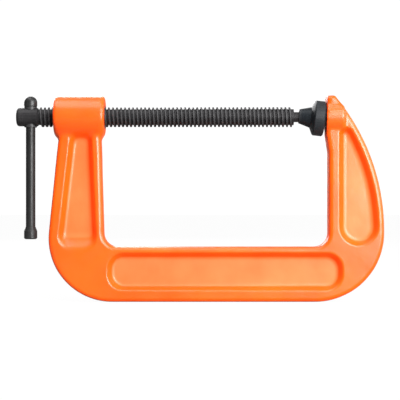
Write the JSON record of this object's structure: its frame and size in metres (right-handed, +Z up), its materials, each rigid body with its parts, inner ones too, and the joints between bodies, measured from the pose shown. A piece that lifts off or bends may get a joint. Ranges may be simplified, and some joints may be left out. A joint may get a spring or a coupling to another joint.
{
  "type": "c-clamp",
  "caption": "Screw C-clamp: cast I-section frame, threaded spindle with a sliding T-handle and a swivel pad that closes on the anvil.",
  "frame": {"origin": "centre of the underside of the spine's box, at the mid plane of the frame: bottom centre of the whole part", "axes": "+X along the screw from the handle to the anvil, +Z up from the spine to the screw, Y across the frame's thickness"},
  "size_m": [0.2906, 0.0332, 0.1629],
  "materials": {
    "enamel": "glossy orange enamel over a cast surface",
    "black_oxide_steel": "black oxide, oiled",
    "blued_steel": "black oxide with a blue cast, turned"
  },
  "bodies": {
    "frame": {"frame": "enamel"},
    "pad": {"swivel_pad": "blued_steel"},
    "screw": {"screw": "black_oxide_steel"},
    "handle": {"handle_bar": "black_oxide_steel", "handle_end_cap": "black_oxide_steel"}
  },
  "joints": [
    {"name": "screw_feed", "type": "slide", "parent": "frame", "child": "pad", "axis": [1, 0, 0], "range_m": [-0.1525, 0]},
    {"name": "screw_turn", "type": "hinge", "parent": "pad", "child": "screw", "pos_m": [0.0852, 0, 0.14605], "axis": [1, 0, 0], "range_deg": [-17280, 0]},
    {"name": "handle_slide", "type": "slide", "parent": "screw", "child": "handle", "axis": [0, 0, 1], "range_m": [0, 0.0786]}
  ],
  "couplings": [
    {"joint": "screw_feed", "follows": "screw_turn", "m_per_rad": 0.00050532}
  ]
}
